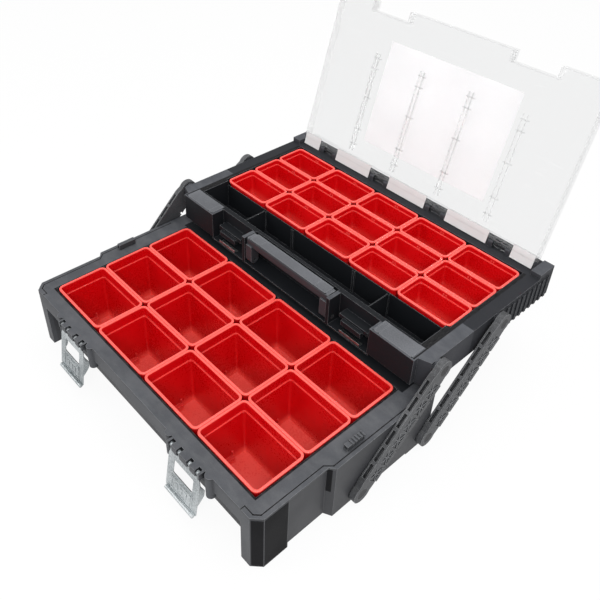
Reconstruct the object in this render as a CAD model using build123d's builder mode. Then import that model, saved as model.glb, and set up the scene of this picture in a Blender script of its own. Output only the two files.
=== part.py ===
"""Cantilever tool box, drawn open: a lower box with twelve cups, and a tray on four parallel arms.

Millimetres, +Z up. The origin is the centre of the lower box's flat underside, +Y is the back.
"""

from build123d import *
from math import atan2, cos, degrees, hypot, radians, sin, tan
import os

# Lower box
box_height = 101.5
box_front_y = -157.0
box_back_y = 156.0
box_half_width = 264.0
arm_section_step = 8.0
arm_section_front_y = -38.0
skirt_wall = 3.5
skirt_lift = 3.0
front_lip_height = 26.0
deck_thickness = 3.0
tub_wall = 2.5
tub_draft = 2.5
floor_thickness = 4.0
corner_cut_x = 24.0
corner_cut_y = 6.0
front_corner_cut = 12.0
post_depth = 50.0
side_recess = 3.0
section_slope_depth = 6.0
web_thickness = 2.5
seam_width = 1.5
seam_depth = 1.2
seam_inset = 5.5
guide_y = (-11.0, 19.0)
left_guide_height = 9.5
right_guide_height = 8.0
guide_inset = 8.0
guide_rib_count = 5
guide_rib_pitch = 5.0

# Cups of the lower box
lower_columns = 4
lower_rows = 3
lower_bay_margin = 28.0
lower_pitch_y = 81.2
lower_bay_front_y = -134.0
lower_cup_rise = 2.5
lower_ledge_depth = 17.0
lower_step_height = 11.0

# Cups of the tray
tray_columns = 5
tray_rows = 3
tray_bay_margin = 23.0
tray_pitch_y = 58.6
tray_cup_drop = 1.4
tray_ledge_depth = 9.0

# Every cup
cup_gap = 0.6
cup_rest_gap = 0.3
cup_lip_width = 3.4
cup_lip_height = 3.0
cup_lip_radius = 0.6
cup_wall = 1.6
cup_corner_radius = 9.0
cup_ledge = 1.6
cup_floor = 2.0
cup_draft = 1.0
cup_rib_offset = 2.2
cup_rib_width = 1.4
bay_clearance = 1.0

# Tray
tray_front_y = 118.0
tray_back_y = 426.0
tray_height = 53.5
tray_clearance = 2.5
tray_floor = 2.5
tray_wall = 2.2
tray_overhang = 4.0
tray_front_inset = 14.0
tray_deck = 2.5
tray_wing_lift = 8.0
trough_front_y = 149.5
trough_width = 50.9
trough_side_inset = 27.5
partition_thickness = 2.0
partition_drop = 8.0
divider_x = 136.0
divider_thickness = 1.6
divider_clearance = 0.3
front_ledge_lift = 3.5
latch_recess_inner_x = 97.0
latch_recess_outer_x = 173.0
latch_recess_depth = 23.0
handle_bay_half_width = 91.0
handle_bay_depth = 26.0
corner_block_height = 8.0
rail_count = 9
rail_pitch = 13.0
rail_length = 5.0
rail_height = 2.5

# Arms and their pivots
arm_front_pivot_y = 6.0
arm_pivot_spacing = 133.0
arm_lower_pivot_z = 18.0
arm_reach_y = 137.5
upper_pivot_drop = 11.0
arm_thickness = 9.0
arm_side_gap = 0.5
arm_hub_radius = 15.0
arm_mid_width = 33.0
arm_pocket_count = 6
arm_pocket_depth = 8.0
arm_panel_depth = 1.2
arm_skin = 2.2
pivot_radius = 5.0
pivot_head_radius = 8.0
pivot_head_height = 2.0
pivot_boss_radius = 11.0
pivot_seat_depth = 17.0
pivot_bore_depth = 18.0
running_clearance = 0.05
fixed_clearance = 0.02

# Latches
latch_x = 138.0
latch_width = 64.0
latch_length = 78.0
latch_end_radius = 2.8
latch_corner = 3.0
latch_sheet = 1.2
latch_axis_forward = 5.0
latch_axis_drop = 5.5
latch_tilt = 10.0
latch_pin_radius = 1.75
latch_knuckle_radius = 3.2
latch_knuckle_width = 5.0
latch_knuckle_inner_x = 10.5
latch_knuckle_outer_x = 27.0
latch_strap_length = 9.0
latch_window_width = 40.0
latch_window_start = 20.0
latch_window_end = 42.0
latch_flange_depth = 9.0
latch_lug_half_width = 33.0
guard_radius = 6.5
guard_gap = 2.5
latch_slot_clearance = 0.6
keeper_nose_width = 37.0
keeper_shelf_width = 54.0
keeper_drop = 20.5
keeper_nose_drop = 24.5
keeper_nose_height = 8.0
strike_width = 39.0
strike_height = 5.0
strike_sheet = 1.2

# Carry handle
handle_half_width = 90.0
handle_leg_width = 13.0
handle_grip_depth = 19.0
handle_grip_height = 16.0
handle_axis_y = 127.0
handle_axis_lift = 15.5
handle_pin_radius = 3.0
handle_side_gap = 0.5
handle_leg_radius = 7.5

# Lid
lid_axis_y = 399.0
lid_axis_rise = 6.5
lid_open_angle = 106.1
lid_side_inset = 16.0
lid_reach = 280.0
lid_back_reach = 6.5
lid_notch_reach = 263.0
lid_flange_height = 15.6
lid_sheet = 2.0
lid_seat_gap = 0.5
lid_rib_height = 5.0
lid_rib_gap = 7.0
lid_rib_back = 22.0
lid_rib_front = 198.0
lid_corner_radius = 8.0
lid_knuckle_radius = 4.5
lid_knuckle_width = 22.0
lid_pin_radius = 2.0
lid_hinge_inner_x = 62.0
lid_hinge_outer_x = 186.0
lid_lug_width = 8.0
label_width = 255.0
label_length = 178.0
label_start = 47.0
label_thickness = 0.4

# Places worked out from the sizes
arm_section_half_width = box_half_width + arm_section_step
post_return_x = box_half_width - lower_bay_margin
lower_pitch_x = 2 * (box_half_width - lower_bay_margin) / lower_columns
lower_rim_z = box_height + lower_cup_rise
tray_half_width = box_half_width + tray_overhang
tray_front_half_width = box_half_width - tray_front_inset
tray_pitch_x = 2 * (box_half_width - tray_bay_margin) / tray_columns
trough_half_width = box_half_width - trough_side_inset
tray_bottom_z = lower_rim_z + tray_clearance
tray_top_z = tray_bottom_z + tray_height
tray_rim_z = tray_top_z - tray_cup_drop
tray_wing_bottom_z = tray_bottom_z + tray_wing_lift
partition_top_z = tray_top_z - partition_drop
front_ledge_z = tray_bottom_z + front_ledge_lift
keeper_top_z = tray_top_z - keeper_drop
keeper_nose_top_z = tray_top_z - keeper_nose_drop
handle_axis_z = tray_bottom_z + handle_axis_lift
lid_axis_z = tray_top_z + lid_axis_rise
lid_half_width = box_half_width - lid_side_inset
arm_rise_z = tray_top_z - upper_pivot_drop - arm_lower_pivot_z
bin_floor_z = floor_thickness + cup_rest_gap
bay_half_width = lower_columns * lower_pitch_x / 2 + bay_clearance
bay_low_y = lower_bay_front_y - bay_clearance
bay_high_y = lower_bay_front_y + lower_rows * lower_pitch_y + bay_clearance
deck_low_z = box_height - deck_thickness
lip_low_z = box_height - front_lip_height
tub_base_x = bay_half_width + tub_wall / 2 - (deck_low_z - arm_lower_pivot_z) * tan(radians(tub_draft))
tray_bay_half_width = tray_columns * tray_pitch_x / 2 + bay_clearance
trough_back_y = trough_front_y + trough_width
tray_bay_front_y = trough_back_y + partition_thickness
tray_bay_back_y = tray_bay_front_y + tray_rows * tray_pitch_y + bay_clearance
tray_floor_z = tray_bottom_z + tray_floor
tray_deck_low_z = tray_top_z - tray_deck
arm_length = hypot(arm_reach_y, arm_rise_z)
arm_angle = degrees(atan2(arm_rise_z, arm_reach_y))
arm_inner_x = arm_section_half_width + arm_side_gap
arm_outer_x = arm_inner_x + arm_thickness
lower_pivot_y = [arm_front_pivot_y, arm_front_pivot_y + arm_pivot_spacing]
upper_pivot_y = [y + arm_reach_y for y in lower_pivot_y]
upper_pivot_z = arm_lower_pivot_z + arm_rise_z
latch_axis_y = box_front_y - latch_axis_forward
latch_axis_z = box_height - latch_axis_drop
recess_back_y = tray_front_y + latch_recess_depth
handle_back_y = tray_front_y + handle_bay_depth

os.makedirs("parts", exist_ok=True)


def save(piece, name):
    """Names a finished piece and writes it."""
    piece.label = name
    export_step(piece, f"parts/{name}.step")


def block(x, y, z, mode=Mode.ADD):
    """Adds a block over three (low, high) ranges to the part being built."""
    with Locations(((x[0] + x[1]) / 2, (y[0] + y[1]) / 2, (z[0] + z[1]) / 2)):
        Box(x[1] - x[0], y[1] - y[0], z[1] - z[0], mode=mode)


def cross_rod(x, y, z, radius, mode=Mode.ADD):
    """Adds a round rod that runs along X over the (low, high) range x."""
    with Locations(((x[0] + x[1]) / 2, y, z)):
        Cylinder(radius, x[1] - x[0], rotation=(0, 90, 0), mode=mode)


def both_sides(points):
    """Closes an outline whose right half runs from the front to the back."""
    return points + [(-x, y) for x, y in reversed(points)]


def ordered(side, low, high):
    """A (low, high) range on the right, or its mirror image on the left."""
    return (low, high) if side > 0 else (-high, -low)


def rounded_layer(plane, width, depth, radius):
    """A sketch of a rounded rectangle on a plane."""
    with BuildSketch(plane) as layer:
        RectangleRounded(width, depth, radius)
    return layer.sketch


def plan_layer(plane, outline, wall=0):
    """A sketch of an outline on a plane, whole or as a ring of the given wall."""
    with BuildSketch(plane) as layer:
        Polygon(*outline, align=None)
        if wall:
            offset(amount=-wall, kind=Kind.INTERSECTION, mode=Mode.SUBTRACT)
    return layer.sketch


def make_cup(pitch_x, pitch_y, depth, ledge_depth, step_height):
    """A thin open cup below its rim at z = 0: a lip, an upper band, a ledge and a drafted body."""
    lip_x = pitch_x - cup_gap
    lip_y = pitch_y - cup_gap
    reach = cup_lip_width - cup_wall
    band_x = lip_x - 2 * reach
    band_y = lip_y - 2 * reach
    band_radius = cup_corner_radius - reach
    body_x = band_x - 2 * cup_ledge
    body_y = band_y - 2 * cup_ledge
    body_radius = band_radius - cup_ledge / 2
    top = Plane.XY
    under_lip = top.offset(-cup_lip_height)
    at_ledge = top.offset(-ledge_depth)
    with BuildPart() as cup:
        extrude(rounded_layer(top, lip_x, lip_y, cup_corner_radius), amount=-cup_lip_height)
        fillet(cup.faces().sort_by(Axis.Z)[-1].edges(), radius=cup_lip_radius)
        band = rounded_layer(under_lip, band_x, band_y, band_radius)
        extrude(band, amount=cup_lip_height - ledge_depth - cup_wall)
        body = rounded_layer(at_ledge, body_x, body_y, body_radius)
        extrude(body, amount=ledge_depth - depth, taper=cup_draft)
        mouth = rounded_layer(top, band_x - 2 * cup_wall, band_y - 2 * cup_wall, band_radius - cup_wall)
        extrude(mouth, amount=-ledge_depth, mode=Mode.SUBTRACT)
        hollow = rounded_layer(at_ledge, body_x - 2 * cup_wall, body_y - 2 * cup_wall, body_radius - cup_wall)
        extrude(hollow, amount=ledge_depth + cup_floor - depth, taper=cup_draft, mode=Mode.SUBTRACT)
        if step_height:
            add_cup_step(body_x, body_y, depth, ledge_depth, step_height)
        else:
            add_cup_ribs(band_y, ledge_depth)
    return cup.part


def add_cup_step(body_x, body_y, depth, ledge_depth, height):
    """A low step along the left wall of a cup's floor, with a taller fin at its end."""
    inset = body_x / 2 - cup_wall / 2 - (depth - ledge_depth) * tan(radians(cup_draft))
    low = cup_floor / 2 - depth
    step_end = body_y / 6
    width = 2 * cup_wall
    block((-inset, -inset + 2 * width), (width - body_y / 2, step_end), (low, low + height))
    block((-inset, -inset + width), (step_end - cup_wall, step_end), (low, low + 1.7 * height))


def add_cup_ribs(band_y, ledge_depth):
    """A pair of small upright ribs in the middle of a cup's long walls, for a divider."""
    for side in (-1, 1):
        wall_y = side * (band_y / 2 - cup_wall)
        for x in (-cup_rib_offset, cup_rib_offset):
            rib_x = (x - cup_rib_width / 2, x + cup_rib_width / 2)
            rib_y = (wall_y - cup_rib_width / 2, wall_y + cup_rib_width / 2)
            block(rib_x, rib_y, (cup_rib_width - ledge_depth, -1.5 * cup_lip_height))


def place_cups(master, prefix, columns, rows, pitch_x, pitch_y, front_y, rim_z):
    """Copies of one cup in a grid, named by row from the front and by column from the left."""
    for row in range(rows):
        for column in range(columns):
            x = (column - (columns - 1) / 2) * pitch_x
            y = front_y + (row + 0.5) * pitch_y
            with BuildPart() as cup:
                with Locations((x, y, rim_z)):
                    add(master)
            save(cup.part, f"{prefix}_{row + 1}_{column + 1}")


def make_lower_cups():
    """The deep cups of the lower box."""
    depth = lower_rim_z - bin_floor_z
    master = make_cup(lower_pitch_x, lower_pitch_y, depth, lower_ledge_depth, lower_step_height)
    place_cups(
        master,
        "lower_cup",
        lower_columns,
        lower_rows,
        lower_pitch_x,
        lower_pitch_y,
        lower_bay_front_y,
        lower_rim_z,
    )


def make_tray_cups():
    """The shallow cups of the tray."""
    depth = tray_rim_z - tray_floor_z - cup_rest_gap
    master = make_cup(tray_pitch_x, tray_pitch_y, depth, tray_ledge_depth, 0)
    place_cups(
        master,
        "tray_cup",
        tray_columns,
        tray_rows,
        tray_pitch_x,
        tray_pitch_y,
        tray_bay_front_y,
        tray_rim_z,
    )


def box_outline():
    """Plan of the lower box's skirt, with its cut front corners and its side recesses."""
    post_back_y = box_front_y + post_depth
    recess_x = box_half_width - side_recess
    return both_sides([
        (box_half_width - front_corner_cut, box_front_y),
        (box_half_width, box_front_y + front_corner_cut),
        (box_half_width, post_back_y),
        (recess_x, post_back_y + side_recess / 2),
        (recess_x, arm_section_front_y - section_slope_depth),
        (arm_section_half_width, arm_section_front_y),
        (arm_section_half_width, box_back_y - corner_cut_y),
        (arm_section_half_width - corner_cut_x, box_back_y),
    ])


def deck_outline():
    """Plan of the lower box's top face."""
    return both_sides([
        (box_half_width - front_corner_cut, box_front_y),
        (box_half_width, box_front_y + front_corner_cut),
        (box_half_width, arm_section_front_y - section_slope_depth),
        (arm_section_half_width, arm_section_front_y),
        (arm_section_half_width, box_back_y - corner_cut_y),
        (arm_section_half_width - corner_cut_x, box_back_y),
    ])


def add_box_shell():
    """The skirt, the deck and the solid tub of the lower box, with the front open under its lip."""
    extrude(plan_layer(Plane.XY, box_outline(), skirt_wall), amount=deck_low_z)
    front_wall = (box_front_y - 1, box_front_y + skirt_wall + 1)
    block((-post_return_x, post_return_x), front_wall, (-1, lip_low_z), Mode.SUBTRACT)
    for side in (-1, 1):
        side_span = ordered(side, box_half_width - side_recess - skirt_wall - 1, arm_section_half_width + 1)
        block(side_span, (box_front_y + post_depth, box_back_y - post_depth), (-1, skirt_lift), Mode.SUBTRACT)
    back_wall = (box_back_y - skirt_wall - 1, box_back_y + 1)
    block((-post_return_x, post_return_x), back_wall, (-1, skirt_lift), Mode.SUBTRACT)
    extrude(plan_layer(Plane.XY.offset(deck_low_z), deck_outline()), amount=deck_thickness)
    extrude(seam_layer(), amount=-seam_depth, mode=Mode.SUBTRACT)
    extrude(bay_layer(tub_wall), amount=-deck_low_z, taper=tub_draft)


def seam_layer():
    """A sketch of the fine seams on the deck, from the front edge round each front corner."""
    near = box_front_y + front_corner_cut
    start = post_return_x + seam_width
    corner = box_half_width - front_corner_cut
    side_line = box_half_width - seam_inset
    end = arm_section_front_y - 3 * section_slope_depth
    turn = box_front_y + seam_inset
    path = [(start, box_front_y - 1), (start, turn), (corner, turn), (side_line, near), (side_line, end)]
    shifted = [(x - seam_width, y + seam_width) for x, y in path]
    shifted[0] = (start - seam_width, box_front_y - 1)
    shifted[-1] = (side_line - seam_width, end)
    strip = path + shifted[::-1]
    with BuildSketch(Plane.XY.offset(box_height)) as layer:
        Polygon(*strip, align=None)
        Polygon(*[(-x, y) for x, y in strip], align=None)
    return layer.sketch


def bay_layer(margin):
    """A sketch of the cups' bay under the deck, widened by a margin."""
    with BuildSketch(Plane.XY.offset(deck_low_z)) as layer:
        with Locations((0, (bay_low_y + bay_high_y) / 2)):
            Rectangle(2 * (bay_half_width + margin), bay_high_y - bay_low_y + 2 * margin)
    return layer.sketch


def cut_bay():
    """The open bay for the cups, cut last so that every web ends at its wall."""
    extrude(bay_layer(0), amount=floor_thickness - deck_low_z, taper=tub_draft, mode=Mode.SUBTRACT)
    extrude(bay_layer(0), amount=2 * deck_thickness, mode=Mode.SUBTRACT)


def add_web(x, y):
    """One upright web under the deck."""
    block(x, y, (2 * skirt_lift, deck_low_z))


def add_box_webs():
    """Upright webs between the tub and the skirt, and the inner faces of the front posts."""
    half = web_thickness / 2
    tub_front = bay_low_y + tub_wall
    tub_back = bay_high_y - tub_wall
    for side in (-1, 1):
        narrow = ordered(side, tub_base_x, box_half_width - side_recess - skirt_wall / 2)
        for y in (box_front_y + post_depth - 2 * web_thickness, lower_pivot_y[0]):
            add_web(narrow, (y - half, y + half))
        wide = ordered(side, tub_base_x, arm_section_half_width - skirt_wall / 2)
        for y in (arm_section_front_y + 2 * section_slope_depth, lower_pivot_y[1] - 2 * pivot_boss_radius):
            add_web(wide, (y - half, y + half))
        rear_post = ordered(side, tub_base_x, tub_base_x + 2 * web_thickness)
        add_web(rear_post, (bay_high_y - tub_wall, box_back_y - skirt_wall / 2))
        post = ordered(side, post_return_x, post_return_x + skirt_wall)
        block(post, (box_front_y, tub_front), (0, deck_low_z))
        for share in (0.35, 0.85):
            x = side * share * bay_half_width
            rib = (x - half, x + half)
            add_web(rib, (tub_back, box_back_y - skirt_wall / 2))
            block(rib, (box_front_y + skirt_wall / 2, tub_front), (lip_low_z + deck_thickness, deck_low_z))


def add_arm_bosses():
    """Round bosses with fixed bores for the four lower pivot pins."""
    for side in (-1, 1):
        for y in lower_pivot_y:
            boss = ordered(side, tub_base_x, arm_section_half_width)
            cross_rod(boss, y, arm_lower_pivot_z, pivot_boss_radius)
            bore = ordered(side, arm_section_half_width - pivot_bore_depth, arm_section_half_width + 1)
            cross_rod(bore, y, arm_lower_pivot_z, pivot_radius + fixed_clearance, Mode.SUBTRACT)


def knuckle_places():
    """Places of a latch's four knuckles from its middle."""
    return [-latch_knuckle_outer_x, -latch_knuckle_inner_x, latch_knuckle_inner_x, latch_knuckle_outer_x]


def add_latch_mounts():
    """Slotted hinge blocks on the front lip, with a rounded guard on each side of a latch."""
    block_low = latch_axis_z - 5.5
    for side in (-1, 1):
        centre = side * latch_x
        lug_x = (centre - latch_lug_half_width, centre + latch_lug_half_width)
        block(lug_x, (latch_axis_y - 4.5, box_front_y + skirt_wall), (block_low, box_height))
        for guard in (-1, 1):
            guard_x = centre + guard * (latch_width / 2 + guard_gap + guard_radius)
            with Locations((guard_x, box_front_y + 1, box_height - 0.75 * front_lip_height)):
                Cylinder(guard_radius, 1.5 * front_lip_height)
        slot = latch_knuckle_width / 2 + latch_slot_clearance
        for from_centre in knuckle_places():
            x = centre + from_centre
            slot_y = (latch_axis_y - 6, latch_axis_y + latch_knuckle_radius + latch_slot_clearance)
            block((x - slot, x + slot), slot_y, (block_low - 1, box_height + 1), Mode.SUBTRACT)
        pin = (lug_x[0] - 1, lug_x[1] + 1)
        cross_rod(pin, latch_axis_y, latch_axis_z, latch_pin_radius + fixed_clearance, Mode.SUBTRACT)


def add_guides():
    """Low guide blocks on the side decks, ribbed on top on the right side."""
    for side, height in ((-1, left_guide_height), (1, right_guide_height)):
        guide_top = box_height + height
        block(ordered(side, box_half_width - guide_inset, box_half_width - 1), guide_y, (deck_low_z, guide_top))
        notch = ordered(side, box_half_width - guide_inset + 1.5, box_half_width - 2.5)
        block(notch, (guide_y[0] - 1, guide_y[0] + 6), (box_height + 1.5, guide_top - 1.5), Mode.SUBTRACT)
    for step in range(guide_rib_count):
        y = guide_y[0] + 8 + guide_rib_pitch * step
        block((box_half_width - guide_inset, box_half_width), (y, y + 2), (guide_top - 2, guide_top + 1.5))


def make_lower_box():
    """The lower box is one moulding: a tub in a skirt, hung from a deck."""
    with BuildPart() as lower_box:
        add_box_shell()
        add_box_webs()
        add_arm_bosses()
        add_latch_mounts()
        add_guides()
        cut_bay()
    save(lower_box.part, "lower_box")


def tray_outline():
    """Plan of the tray, with the handle bay, two latch recesses and the wider part behind them."""
    return both_sides([
        (handle_bay_half_width, handle_back_y),
        (handle_bay_half_width, tray_front_y),
        (latch_recess_inner_x, tray_front_y),
        (latch_recess_inner_x, recess_back_y),
        (latch_recess_outer_x, recess_back_y),
        (latch_recess_outer_x, tray_front_y),
        (tray_front_half_width, tray_front_y),
        (tray_front_half_width, tray_front_y + 8),
        (tray_half_width, tray_front_y + 14),
        (tray_half_width, tray_back_y - corner_cut_y),
        (tray_half_width - corner_cut_y, tray_back_y),
    ])


def add_tray_shell():
    """The skirt, deck, tub and partition of the tray."""
    skirt = plan_layer(Plane.XY.offset(tray_wing_bottom_z), tray_outline(), tray_wall)
    extrude(skirt, amount=tray_deck_low_z - tray_wing_bottom_z)
    extrude(plan_layer(Plane.XY.offset(tray_deck_low_z), tray_outline()), amount=tray_deck)
    tub_x = tray_bay_half_width + tray_wall
    tub_y = (trough_front_y - tray_wall, tray_bay_back_y + tray_wall)
    block((-tub_x, tub_x), tub_y, (tray_bottom_z, tray_deck_low_z))
    ledge_x = latch_recess_outer_x + tray_wall
    block((-ledge_x, ledge_x), (tray_front_y, trough_front_y), (front_ledge_z, front_ledge_z + tray_floor))
    for side in (-1, 1):
        stub = ordered(side, latch_recess_outer_x, latch_recess_outer_x + tray_wall)
        block(stub, (tray_front_y, trough_front_y), (front_ledge_z, tray_deck_low_z))
    trough_x = (-trough_half_width, trough_half_width)
    open_top = (tray_floor_z, tray_top_z + 1)
    block(trough_x, (trough_front_y, trough_back_y), open_top, Mode.SUBTRACT)
    bay_x = (-tray_bay_half_width, tray_bay_half_width)
    block(bay_x, (tray_bay_front_y - bay_clearance, tray_bay_back_y), open_top, Mode.SUBTRACT)
    partition_x = (-trough_half_width, trough_half_width)
    block(partition_x, (trough_back_y - 1, tray_bay_front_y), (partition_top_z, tray_top_z + 1), Mode.SUBTRACT)


def add_divider_slots():
    """Guide ribs in the trough, in pairs, with a divider's clearance between them."""
    gap = divider_thickness / 2 + divider_clearance
    front = (trough_front_y - 0.5, trough_front_y + 2.5)
    back = (trough_back_y - 2.5, trough_back_y + 0.5)
    for side in (-1, 1):
        for x in (side * divider_x, side * divider_x / 2):
            for low in (x - gap - 1.5, x + gap):
                for y in (front, back):
                    block((low, low + 1.5), y, (tray_floor_z - 0.5, partition_top_z - 2))


def add_keepers():
    """A shelf and a narrow nose in each latch recess, which the latch's window passes over."""
    for side in (-1, 1):
        shelf = (side * latch_x - keeper_shelf_width / 2, side * latch_x + keeper_shelf_width / 2)
        block(shelf, (recess_back_y - 15, recess_back_y + 1), (keeper_top_z - 7, keeper_top_z))
        nose = (side * latch_x - keeper_nose_width / 2, side * latch_x + keeper_nose_width / 2)
        nose_z = (keeper_nose_top_z - keeper_nose_height, keeper_nose_top_z)
        block(nose, (recess_back_y - 21, recess_back_y - 14), nose_z)


def add_handle_posts():
    """Posts at both ends of the handle bay, bored for the handle's pins."""
    for side in (-1, 1):
        post = ordered(side, handle_bay_half_width, latch_recess_inner_x)
        block(post, (tray_front_y, handle_back_y + 1), (front_ledge_z, tray_deck_low_z))
        bore = ordered(side, handle_bay_half_width - 1, latch_recess_inner_x + 1)
        cross_rod(bore, handle_axis_y, handle_axis_z, handle_pin_radius + fixed_clearance, Mode.SUBTRACT)


def add_tray_bosses():
    """Round bosses for the upper pivot pins, standing out to the arms."""
    for side in (-1, 1):
        for y in upper_pivot_y:
            boss = ordered(side, tray_bay_half_width + tray_wall / 2, arm_section_half_width)
            cross_rod(boss, y, upper_pivot_z, pivot_boss_radius)
            bore = ordered(side, arm_section_half_width - pivot_bore_depth, arm_section_half_width + 1)
            cross_rod(bore, y, upper_pivot_z, pivot_radius + fixed_clearance, Mode.SUBTRACT)


def add_tray_rails():
    """Ribbed rails along the rear half of the sides, and raised blocks at the back corners."""
    for side in (-1, 1):
        for step in range(rail_count):
            y = upper_pivot_y[1] + 24 + rail_pitch * step
            rail = ordered(side, tray_half_width - 1, tray_half_width + rail_height)
            block(rail, (y, y + rail_length), (tray_wing_bottom_z + 2, tray_deck_low_z - 2))
        corner = ordered(side, lid_half_width + 3, tray_half_width)
        corner_z = (tray_deck_low_z, tray_top_z + corner_block_height)
        block(corner, (tray_back_y - 7 * corner_cut_y, tray_back_y - corner_cut_y), corner_z)


def hinge_stations():
    """X places of the four lid hinges."""
    return [-lid_hinge_outer_x, -lid_hinge_inner_x, lid_hinge_inner_x, lid_hinge_outer_x]


def add_lid_lugs():
    """Two lugs on the back deck for each lid hinge."""
    gap = lid_knuckle_width / 2 + lid_seat_gap
    foot_y = (lid_axis_y - lid_knuckle_radius, lid_axis_y + lid_knuckle_radius)
    bore = lid_pin_radius + fixed_clearance
    for x in hinge_stations():
        for side in (-1, 1):
            middle = x + side * (gap + lid_lug_width / 2)
            lug = (middle - lid_lug_width / 2, middle + lid_lug_width / 2)
            cross_rod(lug, lid_axis_y, lid_axis_z, lid_knuckle_radius)
            block(lug, foot_y, (tray_deck_low_z, lid_axis_z))
            cross_rod((lug[0] - 1, lug[1] + 1), lid_axis_y, lid_axis_z, bore, Mode.SUBTRACT)


def make_tray():
    """The tray is one moulding, carried by the arms."""
    with BuildPart() as tray:
        add_tray_shell()
        add_divider_slots()
        add_keepers()
        add_handle_posts()
        add_tray_bosses()
        add_tray_rails()
        add_lid_lugs()
    save(tray.part, "tray")


def make_dividers():
    """Two thin plates across the trough."""
    for side, name in ((-1, "trough_divider_left"), (1, "trough_divider_right")):
        with BuildPart() as divider:
            x = side * divider_x
            block(
                (x - divider_thickness / 2, x + divider_thickness / 2),
                (trough_front_y + divider_clearance, trough_back_y - divider_clearance),
                (tray_floor_z + cup_rest_gap, partition_top_z - 1),
            )
            chamfer(divider.faces().sort_by(Axis.Z)[-1].edges().filter_by(Axis.X), length=3)
        save(divider.part, name)


def make_strikes():
    """Bright metal strips on the front edge of the ledge below each keeper."""
    for side, name in ((-1, "strike_left"), (1, "strike_right")):
        with BuildPart() as strike:
            span = (side * latch_x - strike_width / 2, side * latch_x + strike_width / 2)
            low = front_ledge_z + tray_floor
            block(span, (tray_front_y + 1, tray_front_y + 1 + strike_sheet), (low, low + strike_height))
            block(span, (tray_front_y + 1, tray_front_y + 9), (low, low + strike_sheet))
        save(strike.part, name)


def make_arm(name, side, index):
    """One arm: a channel with pockets along its upper edge, ribs on its face and a hub at each end."""
    origin = (arm_inner_x, lower_pivot_y[index], arm_lower_pivot_z)
    along = (0, cos(radians(arm_angle)), sin(radians(arm_angle)))
    hub_end = arm_length
    half = arm_mid_width / 2
    pitch = (arm_length - 2 * arm_hub_radius - 6) / arm_pocket_count
    face = Plane(origin=origin, x_dir=along, z_dir=(1, 0, 0))
    with BuildPart(face) as arm:
        with BuildSketch(face):
            Circle(arm_hub_radius)
            with Locations((hub_end, 0)):
                Circle(arm_hub_radius)
            Polygon(
                (0, arm_hub_radius - 2),
                (arm_hub_radius, half),
                (hub_end - arm_hub_radius, half),
                (hub_end, arm_hub_radius - 2),
                (hub_end, 2 - arm_hub_radius),
                (hub_end - arm_hub_radius, 2 - half),
                (arm_hub_radius, 2 - half),
                (0, 2 - arm_hub_radius),
                align=None,
            )
            for step in range(arm_pocket_count):
                x = arm_hub_radius + 3 + (step + 0.5) * pitch
                with Locations((x, 0.5 - half)):
                    Trapezoid(pitch - 3, 5, 60)
        extrude(amount=arm_thickness)
        for step in range(arm_pocket_count):
            x = arm_hub_radius + 3 + (step + 0.5) * pitch
            with Locations((x, half - arm_pocket_depth / 2 + 0.5, arm_thickness / 2)):
                Box(pitch - 5, arm_pocket_depth + 1, arm_thickness - 2 * arm_skin, mode=Mode.SUBTRACT)
            with Locations((x, -3, arm_thickness - arm_panel_depth / 2)):
                Box(pitch - 3.5, arm_mid_width - arm_pocket_depth - 8, arm_panel_depth, mode=Mode.SUBTRACT)
        for x in (0, hub_end):
            with Locations((x, 0, arm_thickness)):
                CounterBoreHole(
                    pivot_radius + running_clearance,
                    pivot_head_radius + 0.4,
                    pivot_head_height + 0.3,
                )
    finished = arm.part if side > 0 else mirror(arm.part, about=Plane.YZ)
    save(finished, name)


def make_arms():
    """Four parallel arms, two on each side."""
    make_arm("arm_front_right", 1, 0)
    make_arm("arm_rear_right", 1, 1)
    make_arm("arm_front_left", -1, 0)
    make_arm("arm_rear_left", -1, 1)


def add_pivot_pin(side, y, z):
    """A headed pin from inside a boss to just below an arm's outer face."""
    head_x = arm_outer_x - pivot_head_height
    cross_rod(ordered(side, arm_section_half_width - pivot_seat_depth, head_x), y, z, pivot_radius)
    cross_rod(ordered(side, head_x, arm_outer_x - 0.2), y, z, pivot_head_radius)


def make_pivot_pins():
    """The pins of the arms, four fixed in the lower box and four fixed in the tray."""
    with BuildPart() as lower_pins:
        for side in (-1, 1):
            for y in lower_pivot_y:
                add_pivot_pin(side, y, arm_lower_pivot_z)
    save(lower_pins.part, "lower_pivot_pins")
    with BuildPart() as upper_pins:
        for side in (-1, 1):
            for y in upper_pivot_y:
                add_pivot_pin(side, y, upper_pivot_z)
    save(upper_pins.part, "upper_pivot_pins")


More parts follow.
